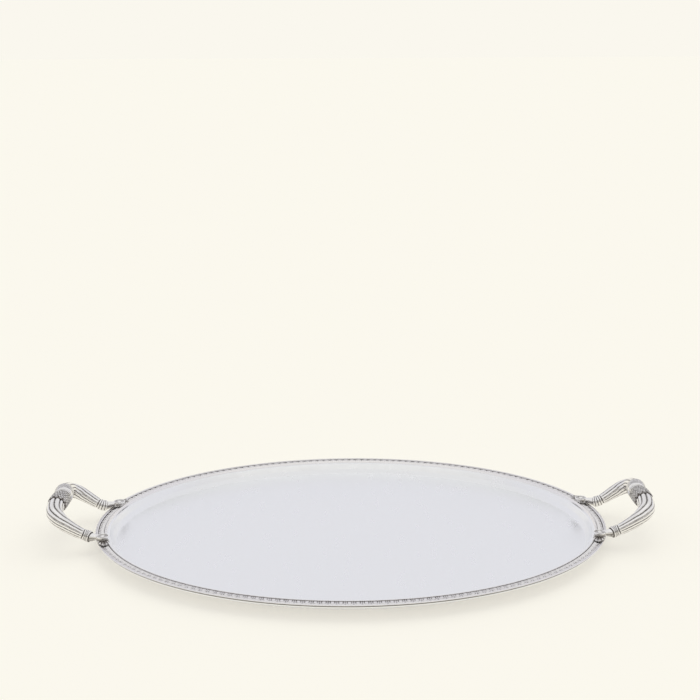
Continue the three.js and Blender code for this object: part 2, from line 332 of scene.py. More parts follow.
def floor_material():
    """Pale warm table that glows, painted light that lifts the shadow under the tray, with a faint mottle."""
    material = bpy.data.materials.new("studio_floor")
    material.use_nodes = True
    tree = Nodes(material.node_tree)
    shader = material.node_tree.nodes["Principled BSDF"]
    shader.inputs["Roughness"].default_value = 0.9
    shader.inputs["Specular IOR Level"].default_value = 0.0
    shader.inputs["Emission Color"].default_value = (*FLOOR_GLOW, 1)
    shader.inputs["Emission Strength"].default_value = 1.0
    place = tree.add("ShaderNodeTexCoord").outputs["Object"]
    mottle = tree.spread(tree.noise(place, scale=3.0), 0.0, 1.0, 0.3, 0.7)
    colour = tree.mix(mottle, FLOOR_COLOUR, shaded(FLOOR_COLOUR, 0.997))
    tree.join(colour, shader.inputs["Base Color"])
    return material


TRAY_SILVER = silver(
    "tray_silver", bright=(0.93, 0.935, 0.945), dark=(0.55, 0.54, 0.55), roughness=0.29,
    recess_from=0.0, recess_to=0.2, scratch=0.001, clouding=0.03,
)
BORDER_SILVER = silver(
    "border_silver", bright=(0.90, 0.88, 0.88), dark=(0.24, 0.225, 0.22), roughness=0.22,
    recess_from=0.0, recess_to=0.7,
)
HANDLE_SILVER = silver(
    "handle_silver", bright=(0.93, 0.915, 0.90), dark=(0.09, 0.072, 0.062), roughness=0.16,
    recess_from=0.05, recess_to=0.85,
)
FIXING_METAL = silver(
    "fixing_metal", bright=(0.60, 0.59, 0.58), dark=(0.2, 0.19, 0.18), roughness=0.32,
    recess_from=0.0, recess_to=0.5, scratch=0.08,
)


# ---- mesh building -----------------------------------------------------------------------------
def even_turn(samples):
    """Angles of a full turn in even steps."""
    return np.linspace(0, 2 * math.pi, samples, endpoint=False)


def grid_faces(rows, columns, close_rows):
    """Quads of a grid of points whose columns close on themselves; its rows may do so too."""
    row = np.arange(rows if close_rows else rows - 1)
    r, c = np.meshgrid(row, np.arange(columns), indexing="ij")
    r2, c2 = (r + 1) % rows, (c + 1) % columns
    corners = [r * columns + c, r2 * columns + c, r2 * columns + c2, r * columns + c2]
    return [tuple(face) for face in np.stack(corners, -1).reshape(-1, 4).tolist()]


def pole_faces(rows, columns):
    """Faces of an open grid that ends in a pole both ways; the two poles come after its points."""
    faces = grid_faces(rows, columns, close_rows=False)
    pole = rows * columns
    last_row = pole - columns
    for i in range(columns):
        j = (i + 1) % columns
        faces.append((pole, i, j))
        faces.append((pole + 1, last_row + j, last_row + i))
    return faces


def turned_over(faces):
    """The faces seen from their other side."""
    return [face[::-1] for face in faces]


def make_object(name, points, faces, relief, material, sharp=50):
    """A smooth-shaded object from points, faces and a tone per point (0 to 1): mostly how proud it stands,
    though some pieces put painted shade and painted light in it.
    """
    mesh = bpy.data.meshes.new(name)
    mesh.from_pydata([tuple(p) for p in points.tolist()], [], faces)
    mesh.validate()
    if relief is not None:
        layer = mesh.attributes.new("relief", "FLOAT", "POINT")
        layer.data.foreach_set("value", np.asarray(relief, dtype=np.float32).ravel())
    mesh.polygons.foreach_set("use_smooth", [True] * len(mesh.polygons))
    mesh.set_sharp_from_angle(angle=math.radians(sharp))
    mesh.materials.append(material)
    return link_object(name, mesh)


def link_object(name, data):
    """Object made from a mesh, light or camera, in the scene."""
    made = bpy.data.objects.new(name, data)
    bpy.context.scene.collection.objects.link(made)
    return made


def grid_object(name, grid, relief, material, close_rows=True, flip=False, sharp=50):
    """Object from a grid of points; an open grid of rows gets a flat cap at each end."""
    rows, columns = grid.shape[:2]
    faces = grid_faces(rows, columns, close_rows)
    if not close_rows:
        faces.append(tuple(range(columns)))
        faces.append(tuple((rows - 1) * columns + i for i in reversed(range(columns))))
    if flip:
        faces = turned_over(faces)
    return make_object(name, grid.reshape(-1, 3), faces, relief, material, sharp)


def fillet_line(corners, steps=7):
    """Line through corners given as (x, y, radius), with each inner corner rounded to its radius."""
    points = [np.array(corners[0][:2])]
    for before, here, after in zip(corners, corners[1:], corners[2:]):
        p0, p1, p2 = (np.array(c[:2]) for c in (before, here, after))
        a = (p0 - p1) / np.linalg.norm(p0 - p1)
        b = (p2 - p1) / np.linalg.norm(p2 - p1)
        half = math.acos(np.clip(np.dot(a, b), -1, 1)) / 2
        reach = here[2] / math.tan(half)
        start, end = p1 + a * reach, p1 + b * reach
        centre = p1 + (a + b) / np.linalg.norm(a + b) * here[2] / math.sin(half)
        for t in np.linspace(0, 1, steps):
            way = (1 - t) * (start - centre) + t * (end - centre)
            points.append(centre + way / np.linalg.norm(way) * here[2])
    points.append(np.array(corners[-1][:2]))
    return np.array(points)


def bell(value, middle, spread):
    """Smooth bump, 1 at its middle, that has all but gone at two spreads from it."""
    return np.exp(-((value - middle) / spread) ** 2)


# ---- oval pieces -------------------------------------------------------------------------------
def oval_point(angle, inset):
    """Points of the oval, moved inwards square to its edge."""
    normal = np.stack([HALF_WIDTH * np.cos(angle), HALF_LENGTH * np.sin(angle)], -1)
    normal /= np.linalg.norm(normal, axis=-1, keepdims=True)
    edge = np.stack([HALF_LENGTH * np.cos(angle), HALF_WIDTH * np.sin(angle)], -1)
    return edge - np.asarray(inset)[..., None] * normal


def even_angles(count, inset):
    """Angles that step evenly along the oval at a given inset."""
    fine = np.linspace(0, 2 * math.pi, 20001)
    line = oval_point(fine, inset)
    length = np.concatenate([[0], np.cumsum(np.linalg.norm(np.diff(line, axis=0), axis=1))])
    return np.interp(np.arange(count) / count * length[-1], length, fine)


def phases(samples, repeat):
    """Place of each sample within its repeat, from -0.5 to 0.5."""
    return (np.arange(samples) % repeat) / repeat - 0.5


def oval_ring(name, angles, inset, height, relief, sharp=50):
    """Strip of the border: inset and height are grids of (angle, section point)."""
    spread = np.broadcast_to(angles[:, None], inset.shape)
    grid = np.concatenate([oval_point(spread, inset), height[..., None]], -1)
    return grid_object(name, grid, relief, BORDER_SILVER, sharp=sharp)


def tray_body():
    """Pressed sheet: flat flange, falling wall and flat well, with the faint sway of hand-finished metal."""
    # Both sides as (inset, height, rounding).
    top = fillet_line([
        (FLANGE_EDGE, FLANGE_TOP, 0),
        (14.2 * MM, FLANGE_TOP, 1.1 * MM),
        (17.2 * MM, 5.6 * MM, 1.5 * MM),
        (20.8 * MM, SHEET, 1.6 * MM),
        (WELL_INSET, SHEET, 0),
    ])
    under = fillet_line([
        (FLANGE_EDGE, FLANGE_TOP - SHEET, 0),
        (13.6 * MM, FLANGE_TOP - SHEET, 2.2 * MM),
        (16.4 * MM, 5.0 * MM, 1.5 * MM),
        (20.2 * MM, 0, 2.2 * MM),
        (WELL_INSET, 0, 0),
    ])
    angles = even_turn(OVAL_SAMPLES)
    level = np.ones(OVAL_SAMPLES)
    well = oval_point(angles, WELL_INSET * level)
    scales = np.linspace(1, 0, WELL_RINGS + 2)[1:-1]
    rings = []
    for scale in scales[::-1]:
        sway = WELL_SWAY * np.sin(19 * well[:, 0] * scale + 1.3) * np.cos(23 * well[:, 1] * scale)
        fade = 1 - scale ** 6
        rings.append(np.column_stack([well * scale, SHEET + sway * fade]))
    for inset, height in np.vstack([top[::-1], under]):
        rings.append(np.column_stack([oval_point(angles, inset * level), height * level]))
    for scale in scales:
        rings.append(np.column_stack([well * scale, 0 * level]))
    points = np.vstack([*rings, (0, 0, SHEET), (0, 0, 0)])
    faces = pole_faces(len(rings), OVAL_SAMPLES)
    return make_object("silver_tray", points, faces, np.ones(len(points)), TRAY_SILVER, sharp=70)


def outer_wire():
    """Plain rounded lip that closes the border on the outside, with a fine groove along its top; its lower
    outer side is painted with shade.
    """
    # The section as (inset, height, rounding).
    section = fillet_line([
        (1.9 * MM, BORDER_BASE, 0),
        (1.0 * MM, BORDER_BASE, 0.3 * MM),
        (0.9 * MM, RIM_TOP - 1.15 * MM, 0.2 * MM),
        (0.0, RIM_TOP - 1.0 * MM, 0.25 * MM),
        (0.0, RIM_TOP - 0.25 * MM, 0.35 * MM),
        (1.2 * MM, RIM_TOP - 0.1 * MM, 0.3 * MM),
        (1.35 * MM, RIM_TOP - 0.6 * MM, 0.1 * MM),
        (1.9 * MM, RIM_TOP - 0.6 * MM, 0.1 * MM),
        (2.0 * MM, RIM_TOP - 0.35 * MM, 0.1 * MM),
        (WIRE_WIDTH, RIM_TOP - 0.4 * MM, 0.3 * MM),
        (WIRE_WIDTH, BORDER_BASE, 0.1 * MM),
        (2.1 * MM, BORDER_BASE, 0),
    ])
    groove_inset = 1.62 * MM
    soft = 0.3 * MM               # width over which the groove and the inner edge grow dark
    lip_shade_depth = 0.95 * MM          # painted shade darkens the wire from this far below the top of the rim down
    lip_fade = 0.5 * MM           # and bright from this much higher up
    inset = np.tile(section[:, 0], (OVAL_SAMPLES, 1))
    height = np.tile(section[:, 1], (OVAL_SAMPLES, 1))
    lip = np.clip((height - RIM_TOP + lip_shade_depth) / lip_fade, 0, 1)
    edge = np.clip((WIRE_WIDTH - inset) / soft, 0, 1)
    # lip paints shade on the wire's lower outer side.
    relief = lip * (0.5 + 0.5 * edge) * (1 - 0.85 * bell(inset, groove_inset, soft))
    return oval_ring("rim_wire", even_turn(OVAL_SAMPLES), inset, height, relief)


def tongue_relief(across, along, pitch):
    """Height, 0 to 1, of a tongue in its rim: across runs from the outer edge in, along from its middle."""
    rim_inside, rim_spread = 0.60 * MM, 0.48 * MM          # the raised rim, inside the tongue's outline
    core_inside, core_fade = 1.75 * MM, 0.5 * MM           # the fluted core, further inside
    spur_inset, spur_spread = 0.7 * MM, 0.45 * MM          # the dart between two tongues
    depth = FRIEZE_WIDTH - across                          # distance from the inner edge
    half = 0.46 * pitch
    tip = FRIEZE_WIDTH - half
    outline = np.where(depth < tip, np.abs(along), np.hypot(along, depth - tip)) - half
    rim = bell(outline, -rim_inside, rim_spread)
    core = np.clip(-(outline + core_inside) / core_fade, 0, 1)
    flutes = core * (0.66 + 0.26 * np.cos(2 * math.pi * along / FLUTE_PITCH))
    beside = 0.5 * pitch - np.abs(along)
    spur = 0.85 * bell(np.hypot(beside, across - spur_inset), 0, spur_spread)
    return np.clip(np.maximum(np.maximum(rim, flutes), spur), 0, 1)


def frieze():
    """Ornamental band of rounded tongues and darts."""
    margin = 0.02 * MM
    edge_fade = 0.3 * MM          # the relief dies away at both edges of the band
    samples = MOTIFS * SAMPLES_PER_MOTIF
    angles = even_angles(samples, FRIEZE_OUTER + FRIEZE_WIDTH / 2)
    pitch = 2 * math.pi * math.sqrt((HALF_LENGTH ** 2 + HALF_WIDTH ** 2) / 2) / MOTIFS
    along = phases(samples, SAMPLES_PER_MOTIF) * pitch
    across = np.linspace(margin, FRIEZE_WIDTH - margin, FRIEZE_STATIONS)
    edge = np.minimum(across, FRIEZE_WIDTH - across) / edge_fade
    relief = tongue_relief(across[None, :], along[:, None], pitch) * np.clip(edge, 0, 1)[None, :]
    lean = FRIEZE_LEAN * (1 - across / FRIEZE_WIDTH)
    height = (FRIEZE_HIGH[2] - FRIEZE_RELIEF - lean)[None, :] + relief * FRIEZE_RELIEF
    inset = np.broadcast_to(FRIEZE_OUTER + across, height.shape)
    inset = np.concatenate([inset[:, :1], inset, inset[:, -1:]], 1)
    column = np.ones((samples, 1))
    height = np.concatenate([BORDER_BASE * column, height, BORDER_BASE * column], 1)
    tone = GROUND_TONE + (1 - GROUND_TONE) * relief
    tone = np.concatenate([EDGE_TONE * column, tone, EDGE_TONE * column], 1)
    return oval_ring("frieze_band", angles, inset, height, tone, sharp=80)


def pearl_bead():
    """Row of fine pearls on a sloping fillet inside the frieze."""
    # The bead's inner foot is held bright: painted light.
    lit_foot_tone = 0.9
    samples = MOTIFS * PEARLS_PER_MOTIF * SAMPLES_PER_PEARL
    angles = even_angles(samples, BEAD_OUTER + BEAD_WIDTH / 2)
    swell = np.sqrt(np.clip(1 - (2 * phases(samples, SAMPLES_PER_PEARL)) ** 2 * 0.96, 0, 1))
    size = (0.5 + 0.5 * swell) * PEARL_RADIUS
    turn = np.linspace(0, math.pi, 9)
    inset = BEAD_OUTER + PEARL_RADIUS - np.outer(size, np.cos(turn))
    height = BEAD_HIGH[2] - PEARL_DROP - PEARL_RADIUS + np.outer(size, np.sin(turn))
    # Each pearl is held bright over its inner half, painted light, and darkens down its outer side and
    # between pearls.
    tone = np.outer(swell, np.maximum(np.sin(turn), turn > math.pi / 2))
    tone = GROUND_TONE + (1 - GROUND_TONE) * tone
    column = np.ones((samples, 1))
    foot = BEAD_OUTER + BEAD_WIDTH + BEAD_FOOT
    inset = np.concatenate([BEAD_OUTER * column, inset, foot * column], 1)
    height = np.concatenate([FLANGE_TOP * column, height, FLANGE_TOP * column], 1)
    tone = np.concatenate([EDGE_TONE * column, tone, lit_foot_tone * column], 1)
    return oval_ring("pearl_bead", angles, inset, height, tone, sharp=80)


# ---- handle centreline -------------------------------------------------------------------------
def centripetal_curve(points, steps=60):
    """Centripetal Catmull-Rom curve through the points."""
    p = np.array(points, float)
    p = np.vstack([2 * p[0] - p[1], p, 2 * p[-1] - p[-2]])
    line = []
    for p0, p1, p2, p3 in zip(p, p[1:], p[2:], p[3:]):
        t1 = math.sqrt(np.linalg.norm(p1 - p0))
        t2 = t1 + math.sqrt(np.linalg.norm(p2 - p1))
        t3 = t2 + math.sqrt(np.linalg.norm(p3 - p2))
        t = np.linspace(t1, t2, steps, endpoint=False)[:, None]
        a1 = (t1 - t) / t1 * p0 + t / t1 * p1
        a2 = (t2 - t) / (t2 - t1) * p1 + (t - t1) / (t2 - t1) * p2
        a3 = (t3 - t) / (t3 - t2) * p2 + (t - t2) / (t3 - t2) * p3
        b1 = (t2 - t) / t2 * a1 + t / t2 * a2
        b2 = (t3 - t) / (t3 - t1) * a2 + (t - t1) / (t3 - t1) * a3
        line.append((t2 - t) / (t2 - t1) * b1 + (t - t1) / (t2 - t1) * b2)
    return np.vstack(line + [p[-2:-1]])


LINE = centripetal_curve(
    [(x * MM, y * MM, RIM_TOP + z * MM) for x, y, z in HALF_HANDLE]
    + [(x * MM, -y * MM, RIM_TOP + z * MM) for x, y, z in HALF_HANDLE[-2::-1]]
)
LINE_LENGTH = np.concatenate([[0], np.cumsum(np.linalg.norm(np.diff(LINE, axis=0), axis=1))])
HALF_GRIP = LINE_LENGTH[-1] / 2
SHOULDER = COLLAR_LENGTH + 2 * GAP
SLEEVE_START = HALF_GRIP - RING_LENGTH / 2 - GAP - SLEEVE_LENGTH


def on_line(distance):
    """Points at distances along the handle's centreline."""
    return np.stack([np.interp(distance, LINE_LENGTH, LINE[:, k]) for k in range(3)], -1)


def handle_frames(distance):
    """Place, sideways and upward directions of the handle at distances along it."""
    reach = 2.0 * MM
    ahead = on_line(np.minimum(distance + reach, LINE_LENGTH[-1]))
    tangent = ahead - on_line(np.maximum(distance - reach, 0))
    tangent /= np.linalg.norm(tangent, axis=-1, keepdims=True)
    side = np.cross(np.array([0, 0, 1.0]), tangent)
    side /= np.linalg.norm(side, axis=-1, keepdims=True)
    return on_line(distance), side, np.cross(tangent, side)


def bent_object(name, radius, distance, turn, relief, ends, **settings):
    """Piece round the handle at one end and side: radius and distance are grids of (station, turn)."""
    origin, side, up = handle_frames(distance)
    across = side * np.cos(turn)[None, :, None] + up * np.sin(turn)[None, :, None]
    grid = (origin + radius[..., None] * across) * np.array([*ends, 1.0])
    mirrored = ends[0] * ends[1] < 0
    return grid_object(name, grid, relief, HANDLE_SILVER, flip=not mirrored, **settings)


def arm_radius(distance):
    """Radius of an arm from its shoulder at the collar to the middle of the grip."""
    rise = np.clip((distance - SHOULDER) / (SLEEVE_START - SHOULDER), 0, 1)
    fall = np.clip((distance - SLEEVE_START) / SLEEVE_LENGTH, 0, 1)
    return ARM_FOOT + ARM_SWELL * np.sin(rise * math.pi / 2) ** 1.3 - GRIP_FALL * fall


def arm(name, ends):
    """Reeded arm: convex reeds that grow with the arm and fade out at the collar."""
    shoulder_spread = 0.25 * MM
    reed_start = 3.0 * MM         # length over which the reeds rise from the shoulder
    stations = np.linspace(GAP, HALF_GRIP - GAP / 2, 190)
    turn = even_turn(REEDS * 14)
    ridge = np.abs(np.sin(REEDS * turn / 2 + REED_UNEVENNESS * np.sin(2 * turn)))
    crown = np.sqrt(np.clip(1 - (1 - ridge) ** 2, 0, 1))
    shoulder = 1 / (1 + np.exp(-(stations - SHOULDER) / shoulder_spread))
    radius = TENON_RADIUS + (arm_radius(stations) - TENON_RADIUS) * shoulder
    start = np.clip((stations - SHOULDER) / reed_start, 0, 1) ** 0.7
    depth = REED_DEPTH * arm_radius(stations) * start
    radius = radius[:, None] - depth[:, None] * (1 - crown[None, :])
    distance = np.broadcast_to(stations[:, None], radius.shape)
    relief = 1 - (1 - ridge[None, :] ** 0.7) * start[:, None]
    return bent_object(name, radius, distance, turn, relief, ends, close_rows=False)


def band(name, outside, relief, bore, start, length, ends):
    """Turned band round the handle: the radii of its outside, in even steps along it, over a plain bore."""
    samples = 96
    along = start + length * np.linspace(0, 1, len(outside))
    radius = np.concatenate([outside, [bore, bore]])
    distance = np.concatenate([along, [start + length, start]])
    relief = np.concatenate([relief, [0, 0]])
    radius, distance, relief = (np.repeat(v[:, None], samples, 1) for v in (radius, distance, relief))
    return bent_object(name, radius, distance, even_turn(samples), relief, ends, sharp=60)


def collar(name, ends):
    """Turned collar of four fine rings between terminal and arm."""
    t = np.linspace(0, 1, COLLAR_RINGS * 9 + 1)
    wave = np.abs(np.sin(math.pi * COLLAR_RINGS * t))
    outside = COLLAR_RADIUS + COLLAR_SWELL * np.sin(math.pi * t) + COLLAR_RIDGE * wave ** 0.6
    return band(name, outside, np.minimum(1, 1.4 * wave), COLLAR_BORE, GAP, COLLAR_LENGTH, ends)


def centre_ring(name, end_sign):
    """Double ring between the two sleeves."""
    wave = np.abs(np.sin(2 * math.pi * np.linspace(0, 1, 21)))
    outside = RING_RADIUS + RING_RIDGE * wave ** 0.5
    start = HALF_GRIP - RING_LENGTH / 2
    return band(name, outside, np.minimum(1, 1.6 * wave), RING_BORE, start, RING_LENGTH, (end_sign, 1))


def scale_relief(around, along):
    """Height, 0 to 1, of overlapping scales: both ways counted in scales, tips towards larger along."""
    def tip(row):
        sideways = (around + 0.5 * (row % 2)) % 1.0 - 0.5
        return 0.75 * np.sqrt(np.clip(1 - (2 * sideways) ** 2, 0, 1)), sideways

    row = np.floor(along)
    edge, _ = tip(row)
    row = np.where(along - row < edge, row, row + 1)
    edge, sideways = tip(row)
    below_edge = row + edge - along
    rib = bell(sideways, 0, 0.09) * np.clip(below_edge, 0, 1)
    return np.clip(1.0 - 0.72 * below_edge + 0.35 * rib, 0, 1)


def leaf_relief(leaf, along):
    """Height, 0 to 1, of the pointed leaves: leaf runs from -0.5 to 0.5 across each of them."""
    vein = bell(leaf, 0, 0.06)
    barbs = 0.5 + 0.5 * np.cos(2 * math.pi * (along * 9 + 1.6 * np.abs(leaf)))
    valley = bell(np.abs(leaf), 0.5, 0.07)
    return np.clip(0.30 + 0.40 * barbs + 0.5 * vein - 0.9 * valley, 0, 1)


def leaf_sleeve(name, ends):
    """Sleeve of small overlapping scales that ends in a crown of pointed leaves towards the collar."""
    leaves_from, leaves_fade = 0.80, 0.02         # all of these are shares of the sleeve's length
    mouth_width, mouth_fade = 0.080, 0.010        # plain band beside the ring
    groove_place, groove_spread = 0.092, 0.016    # groove that sets it off
    lip_fade = 0.03                               # the tips sink towards the arm
    notch = 0.035                                 # depth of the notches between the tips
    turn = even_turn(PETALS * 24)
    leaf = (turn * PETALS / (2 * math.pi) + 0.5) % 1.0 - 0.5
    reach = (1 - notch + notch * np.cos(math.pi * leaf) ** 0.8) * SLEEVE_LENGTH
    end = SLEEVE_START + SLEEVE_LENGTH
    t = np.linspace(0, 1, 110)[:, None]                           # 0 at the tips, 1 at the ring
    distance = end - reach[None, :] * (1 - t)
    along = (end - distance) / SLEEVE_LENGTH                      # 0 at the ring, 1 at the tips
    scales = scale_relief((turn * SCALES_ROUND / (2 * math.pi))[None, :], along * SCALE_ROWS)
    leaves = np.clip((along - leaves_from) / leaves_fade, 0, 1)
    relief = (1 - leaves) * scales + leaves * leaf_relief(leaf[None, :], along)
    mouth = np.clip((mouth_width - along) / mouth_fade, 0, 1)
    relief = mouth + (1 - mouth) * relief * (1 - 0.95 * bell(along, groove_place, groove_spread))
    lip = np.clip(t / lip_fade, 0, 1)
    relief = relief * lip + (1 - lip) * 0.1
    swell = SLEEVE_RADIUS + SLEEVE_SWELL * np.sin(math.pi * along ** 0.8 * 0.72)
    outer = swell - (1 - relief) * SLEEVE_RELIEF
    inner = arm_radius(distance) - SLEEVE_BITE
    radius = np.concatenate([outer, inner[::-1]], 0)
    distance = np.concatenate([distance, distance[::-1]], 0)
    tone = np.concatenate([0.85 * relief ** 1.5, np.zeros_like(relief)], 0)
    return bent_object(name, radius, distance, turn, tone, ends, sharp=80)


# ---- terminals and fixings ---------------------------------------------------------------------
def turned_rings(section, centre, samples):
    """Grid of a section of (radius, height) turned about a vertical axis."""
    section = np.array(section)
    turn = even_turn(samples)
    return np.stack([
        centre[0] + section[:, :1] * np.cos(turn),
        centre[1] + section[:, :1] * np.sin(turn),
        np.repeat(section[:, 1:], samples, 1),
    ], -1)


def lathe(name, section, centre, material):
    """Solid turned about a vertical axis; its section runs down from the top of the axis to its foot."""
    samples = 72
    grid = turned_rings(section[1:-1], centre, samples)
    points = np.vstack([grid.reshape(-1, 3), (*centre, section[0][1]), (*centre, section[-1][1])])
    faces = pole_faces(len(grid), samples)
    return make_object(name, points, faces, np.ones(len(points)), material, sharp=45)


def disc_centre(ends):
    """Middle of a terminal's disc at one end and side."""
    return ends[0] * DISC_X, ends[1] * DISC_Y


def terminal(name, ends):
    """Cast terminal: scroll disc with a raised rim, drum, leaf foot on the border and neck to the collar."""
    dish = DISC_TOP - DISH_DEPTH
    disc = lathe(name + "_disc", fillet_line([
        (0, dish, 0),
        (DISH_RADIUS, dish, 0.3 * MM),
        (DISH_LIP, DISC_TOP, 0.25 * MM),
        (DISC_RADIUS, DISC_TOP, 0.45 * MM),
        (DISC_RADIUS, DISC_TOP - DISC_EDGE, 0.45 * MM),
        (DRUM_RADIUS, DISC_TOP - DRUM_TOP, 0.3 * MM),
        (DRUM_RADIUS, FOOT_BASE, 0.1 * MM),
        (0, FOOT_BASE, 0),
    ], SMALL_ROUNDING), (0.0, 0.0), HANDLE_SILVER)
    foot = leaf_foot(name + "_foot")
    neck = neck_bar(name + "_neck")
    return fuse(name, [disc, foot, neck], ends)


def border_direction():
    """Outward direction of the rim at a terminal."""
    return Vector((DISC_X / HALF_LENGTH ** 2, DISC_Y / HALF_WIDTH ** 2)).normalized()


def leaf_foot(name):
    """Fan-shaped leaf that spreads along the border under the disc, longer away from the grip."""
    edge_height = 0.5 * MM
    turn = even_turn(240)
    level = np.ones(len(turn))
    lobed = 1 - 0.07 * np.abs(np.sin(LOBES / 2 * turn))
    domed = [0.02, 0.2, 0.35, 0.5, 0.62, 0.74, 0.85, 0.93, 0.98, 1.0]
    rings = []
    for s in domed:
        ribs = FOOT_RIB * np.cos(LOBES * turn) * min(1, 2 * s)
        rings.append((s, FOOT_HEIGHT * (1 - 0.45 * s ** 4) + ribs))
    rings += [(1.0, edge_height * level), (0.98, 0 * level)]
    normal = border_direction()
    grid = []
    for s, rise in rings:
        u = FOOT_ACROSS * s * lobed * np.cos(turn)
        v = FOOT_SHIFT * s + FOOT_ALONG * s * lobed * np.sin(turn)
        x, y = u * normal.x - v * normal.y, u * normal.y + v * normal.x
        grid.append(np.stack([x, y, FOOT_BASE + rise], -1))
    return grid_object(name, np.array(grid), None, HANDLE_SILVER, close_rows=False, flip=True)


def neck_bar(name):
    """Strap from the disc's side to the round face that meets the collar."""
    origin, side, up = (v[0] for v in handle_frames(np.array([0.0])))
    root = np.array([DISC_X, DISC_Y, FOOT_BASE + NECK_ROOT])
    turn = even_turn(40)
    c, d = np.cos(turn), np.sin(turn)
    grid = []
    for s in np.linspace(0, 1, 24):                               # 0 at the disc, 1 at the collar
        smooth = s * s * (3 - 2 * s)
        waist = math.sin(math.pi * s)
        half_width = (3.4 + 1.2 * smooth - 0.9 * waist) * MM
        half_height = (2.2 + 2.4 * smooth - 0.5 * waist) * MM
        square = 0.75 + 0.25 * s
        pinch = 1 - 0.25 * bell(d, -0.1, 0.2) * (1 - s)
        u = np.sign(c) * np.abs(c) ** square * half_width * pinch
        v = np.sign(d) * np.abs(d) ** square * half_height
        grid.append(root * (1 - s) + origin * s + u[:, None] * side + v[:, None] * up)
    grid = np.array(grid) - np.array([DISC_X, DISC_Y, 0])
    return grid_object(name, grid, None, HANDLE_SILVER, close_rows=False, flip=True)


def terminal_relief(place):
    """How rubbed a terminal is, with painted shade on the drum under the disc: bright on the disc's rim and
    the neck, dark in its dish and between lobes.
    """
    across = place[:, 0] - DISC_X
    along = place[:, 1] - DISC_Y
    height = place[:, 2]
    radius = np.hypot(across, along)
    dish = (radius < 5.3 * MM) & (height > DISC_TOP - 1.6 * MM)
    drum = (radius < 5.6 * MM) & (height < DISC_TOP - DISC_EDGE)
    leaf = (radius > 5.0 * MM) & (height < FOOT_BASE + 1.85 * MM)
    normal = border_direction()
    u = (across * normal.x + along * normal.y) / FOOT_ACROSS
    v = (-across * normal.y + along * normal.x) / FOOT_ALONG
    lobes = 0.5 + 0.5 * np.cos(LOBES * np.arctan2(v, u))
    relief = np.where(leaf, np.clip(0.05 + 0.85 * lobes, 0, 1), 1.0)
    # The drum under the disc is held dark: painted shade.
    relief = np.where(drum, 0.3, relief)
    groove = bell(height, FOOT_BASE + NECK_GROOVE, 0.45 * MM)
    relief = np.where(radius > DISC_RADIUS, relief - 0.9 * groove, relief)
    return np.where(dish, 0.3, relief)


def fuse(name, shells, ends):
    """Joins shells into one casting, melts their seams and mirrors it to its place."""
    joined = bpy.data.meshes.new(name)
    points, faces = [], []
    for shell in shells:
        base = len(points)
        points += [tuple(v.co) for v in shell.data.vertices]
        faces += [tuple(base + i for i in face.vertices) for face in shell.data.polygons]
        bpy.data.objects.remove(shell)
    joined.from_pydata(points, [], faces)
    work = link_object(name, joined)
    remesh = work.modifiers.new("remesh", "REMESH")
    remesh.mode = "VOXEL"
    remesh.voxel_size = MELT
    work.modifiers.new("smooth", "SMOOTH").iterations = 3
    result = modified_mesh(work)
    bpy.data.objects.remove(work)
    place = np.empty(len(result.vertices) * 3)
    result.vertices.foreach_get("co", place)
    place = place.reshape(-1, 3) + np.array([DISC_X, DISC_Y, 0])
    x, y, z = place.T
    over_rim = (x / (HALF_LENGTH + GAP)) ** 2 + (y / (HALF_WIDTH + GAP)) ** 2 < 1
    place[:, 2] = np.where(over_rim, np.maximum(z, FOOT_BASE), z)
    relief = 0.35 + 0.65 * terminal_relief(place)
    faces = [tuple(face.vertices) for face in result.polygons]
    if ends[0] * ends[1] < 0:
        faces = turned_over(faces)
    return make_object(name, place * np.array([*ends, 1.0]), faces, relief, HANDLE_SILVER, sharp=180)


def modified_mesh(piece):
    """The mesh that a piece's modifiers make."""
    depsgraph = bpy.context.evaluated_depsgraph_get()
    return bpy.data.meshes.new_from_object(piece.evaluated_get(depsgraph))


def eye_button(name, ends):
    """Domed button in the dish of a terminal."""
    base, top = BUTTON_LOW[2], BUTTON_HIGH[2]
    section = [(0, top)]
    for t in np.linspace(0.15, 1, 8) * math.pi / 2:
        section.append((BUTTON_RADIUS * math.sin(t), base + (top - base) * math.cos(t)))
    section += [(BUTTON_RADIUS, base - BUTTON_FOOT), (0, base - BUTTON_FOOT)]
    return lathe(name, section, disc_centre(ends), HANDLE_SILVER)


def washer(name, ends):
    """Flat washer with softened outer edges, under the flange."""
    low, high = WASHER_LOW[2], WASHER_HIGH[2]
    section = [
        (WASHER_BORE, low),
        (WASHER_RADIUS - 0.2 * MM, low),
        (WASHER_RADIUS, low + 0.2 * MM),
        (WASHER_RADIUS, high - 0.1 * MM),
        (WASHER_RADIUS - 0.1 * MM, high),
        (WASHER_BORE, high),
    ]
    grid = turned_rings(section, disc_centre(ends), 64)
    return grid_object(name, grid, np.ones(grid.shape[:2]), FIXING_METAL, flip=True, sharp=30)


